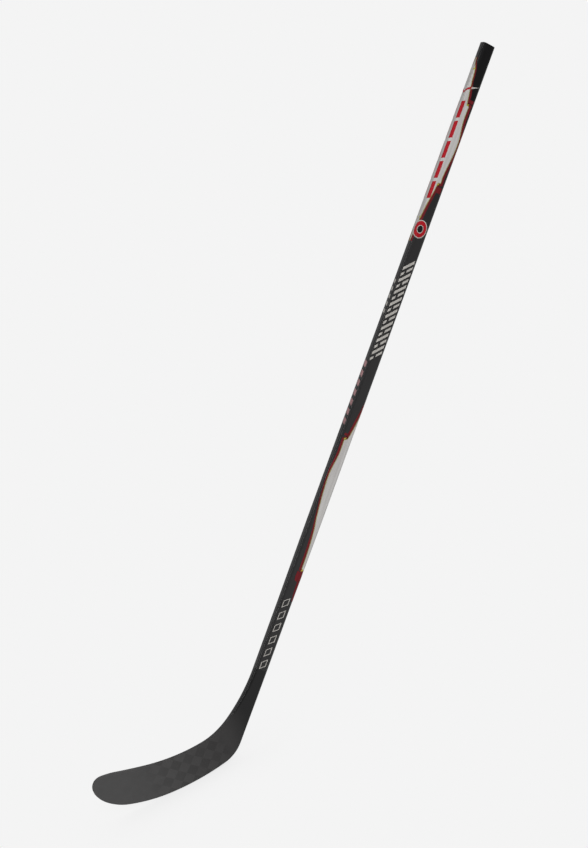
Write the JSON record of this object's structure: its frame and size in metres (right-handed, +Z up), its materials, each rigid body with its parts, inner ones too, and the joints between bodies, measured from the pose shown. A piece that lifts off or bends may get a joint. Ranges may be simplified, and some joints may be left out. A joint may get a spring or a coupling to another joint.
{
  "type": "ice hockey stick",
  "caption": "One-piece composite ice hockey stick, left-handed, with a tapered hollow shaft, curved foam-cored blade and butt plug.",
  "frame": {"origin": "the point of the blade's lower edge that touches the ice when the stick stands in its playing pose", "axes": "+Z up from the ice, -X along the blade from heel to toe, the shaft rises towards +X at 45 degrees, +Y towards the forehand (cupped) side of the blade"},
  "size_m": [1.3558, 0.071, 1.1019],
  "materials": {
    "shaft_laminate": "satin clear coat over carbon laminate",
    "blade_laminate": "matte woven carbon laminate",
    "raw_laminate": "uncoated carbon laminate",
    "plug_plastic": "moulded plastic",
    "core_foam": "closed-cell foam",
    "adhesive": "cured epoxy",
    "grey_film": "printed film under clear coat",
    "dark_red_film": "printed film under clear coat",
    "gold_film": "printed film under clear coat",
    "pale_film": "printed film under clear coat",
    "red_film": "printed film under clear coat",
    "black_film": "printed film under clear coat",
    "pink_film": "printed film under clear coat",
    "yellow_film": "printed film under clear coat"
  },
  "bodies": {
    "stick": {"shaft_tube": "shaft_laminate", "tenon_foam": "core_foam", "tenon_laminate": "raw_laminate", "tenon_adhesive": "adhesive", "hosel_overwrap": "blade_laminate", "hosel_core": "core_foam", "blade_upper_core": "core_foam", "blade_lower_core": "core_foam", "blade_bridge_rib": "raw_laminate", "blade_backhand_skin": "blade_laminate", "blade_forehand_skin": "blade_laminate", "blade_edge_rim": "blade_laminate", "upper_panel_decal": "grey_film", "upper_trim_decal": "dark_red_film", "upper_pinline_decal": "gold_film", "lower_panel_decal": "grey_film", "lower_trim_decal": "dark_red_film", "lower_pinline_decal": "gold_film", "badge_outline_decal": "pale_film", "badge_field_decal": "red_film", "badge_centre_decal": "black_film", "block_marks_decal": "pale_film", "corner_dashes_decal": "red_film", "cross_stroke_decal": "red_film", "cross_tip_decal": "pale_film", "accent_decal": "yellow_film", "thin_marks_decal": "pale_film", "edge_bars_decal": "pale_film", "edge_dashes_decal": "pink_film"},
    "butt_plug": {"butt_plug": "plug_plastic"}
  },
  "joints": [
    {"name": "plug_slide", "type": "slide", "parent": "stick", "child": "butt_plug", "axis": [0.7071, 0, 0.7071], "range_m": [0, 0.06]}
  ]
}
